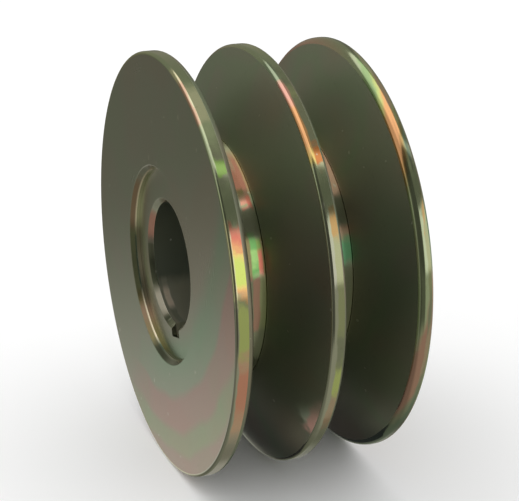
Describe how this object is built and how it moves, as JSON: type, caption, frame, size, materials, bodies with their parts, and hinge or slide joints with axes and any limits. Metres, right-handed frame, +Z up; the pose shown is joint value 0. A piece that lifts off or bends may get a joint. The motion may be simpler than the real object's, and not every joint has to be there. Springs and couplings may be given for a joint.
{
  "type": "v belt pulley",
  "caption": "V-belt pulley with deep grooves side by side between thin flanges, and a keyed bore set in a shallow round recess in its front face.",
  "frame": {"origin": "on the bore's axis, halfway between the front and rear faces", "axes": "the pulley spins about Y; the front face with the recess looks along -Y, +Z is up, and the keyway is below the bore, turned 15 degrees from straight down towards +X"},
  "size_m": [0.076, 0.0346, 0.076],
  "materials": {
    "plated_flange": "turned steel, zinc plated with an olive-yellow iridescent passivation",
    "plated_ring": "turned steel, zinc plated with an iridescent yellow passivation, brighter than the flanges",
    "plated_sleeve": "turned steel, zinc plated with an olive-yellow iridescent passivation"
  },
  "bodies": {
    "root": {"front_flange": "plated_flange", "middle_flange": "plated_flange", "rear_flange": "plated_flange", "front_groove_ring": "plated_ring", "rear_groove_ring": "plated_ring", "hub_sleeve": "plated_sleeve"}
  },
  "joints": []
}
